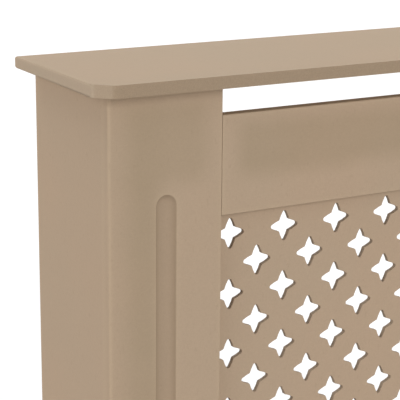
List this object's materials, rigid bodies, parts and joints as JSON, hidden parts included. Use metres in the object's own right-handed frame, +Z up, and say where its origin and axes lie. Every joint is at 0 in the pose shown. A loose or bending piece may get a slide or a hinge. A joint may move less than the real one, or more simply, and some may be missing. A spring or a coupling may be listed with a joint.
{
  "type": "radiator cover cabinet",
  "caption": "Flat-pack radiator cover with an overhanging top board, fluted front pilasters, plain rails, a heat slot and a grille of staggered star holes.",
  "frame": {"origin": "on the floor, at the middle of the width and depth of the cover", "axes": "+X along the width, to the right of someone who faces the front; +Y from the front towards the wall; +Z up"},
  "size_m": [1.12, 0.19, 0.815],
  "materials": {
    "mdf_board": "raw medium density fibreboard, sanded, unpainted",
    "mdf_sheet": "raw thin fibreboard sheet with cut star holes",
    "mdf_strip": "raw fibreboard strip, sawn edges",
    "beech_dowel": "plain beech",
    "zinc_steel": "zinc plated folded steel",
    "screw_steel": "zinc plated screw steel"
  },
  "bodies": {
    "root": {"bottom_rail": "mdf_board", "grille_panel": "mdf_sheet", "grille_screw_bottom_left": "screw_steel", "grille_screw_bottom_middle": "screw_steel", "grille_screw_bottom_right": "screw_steel", "grille_screw_left": "screw_steel", "grille_screw_right": "screw_steel", "grille_screw_top_left": "screw_steel", "grille_screw_top_middle": "screw_steel", "grille_screw_top_right": "screw_steel", "left_back_bracket": "zinc_steel", "left_back_bracket_side_screw": "screw_steel", "left_back_bracket_top_screw": "screw_steel", "left_bottom_rail_dowel_1": "beech_dowel", "left_bottom_rail_dowel_2": "beech_dowel", "left_corner_batten": "mdf_strip", "left_front_bracket": "zinc_steel", "left_front_bracket_side_screw": "screw_steel", "left_front_bracket_top_screw": "screw_steel", "left_head_dowel_1": "beech_dowel", "left_head_dowel_2": "beech_dowel", "left_pilaster": "mdf_board", "left_pilaster_screw_1": "screw_steel", "left_pilaster_screw_2": "screw_steel", "left_pilaster_screw_3": "screw_steel", "left_side_panel": "mdf_board", "left_side_screw_1": "screw_steel", "left_side_screw_2": "screw_steel", "left_side_screw_3": "screw_steel", "left_top_rail_dowel_1": "beech_dowel", "left_top_rail_dowel_2": "beech_dowel", "left_wall_bracket": "zinc_steel", "left_wall_bracket_screw": "screw_steel", "right_back_bracket": "zinc_steel", "right_back_bracket_side_screw": "screw_steel", "right_back_bracket_top_screw": "screw_steel", "right_bottom_rail_dowel_1": "beech_dowel", "right_bottom_rail_dowel_2": "beech_dowel", "right_corner_batten": "mdf_strip", "right_front_bracket": "zinc_steel", "right_front_bracket_side_screw": "screw_steel", "right_front_bracket_top_screw": "screw_steel", "right_head_dowel_1": "beech_dowel", "right_head_dowel_2": "beech_dowel", "right_pilaster": "mdf_board", "right_pilaster_screw_1": "screw_steel", "right_pilaster_screw_2": "screw_steel", "right_pilaster_screw_3": "screw_steel", "right_side_panel": "mdf_board", "right_side_screw_1": "screw_steel", "right_side_screw_2": "screw_steel", "right_side_screw_3": "screw_steel", "right_top_rail_dowel_1": "beech_dowel", "right_top_rail_dowel_2": "beech_dowel", "right_wall_bracket": "zinc_steel", "right_wall_bracket_screw": "screw_steel", "top_board": "mdf_board", "top_rail": "mdf_board"}
  },
  "joints": []
}
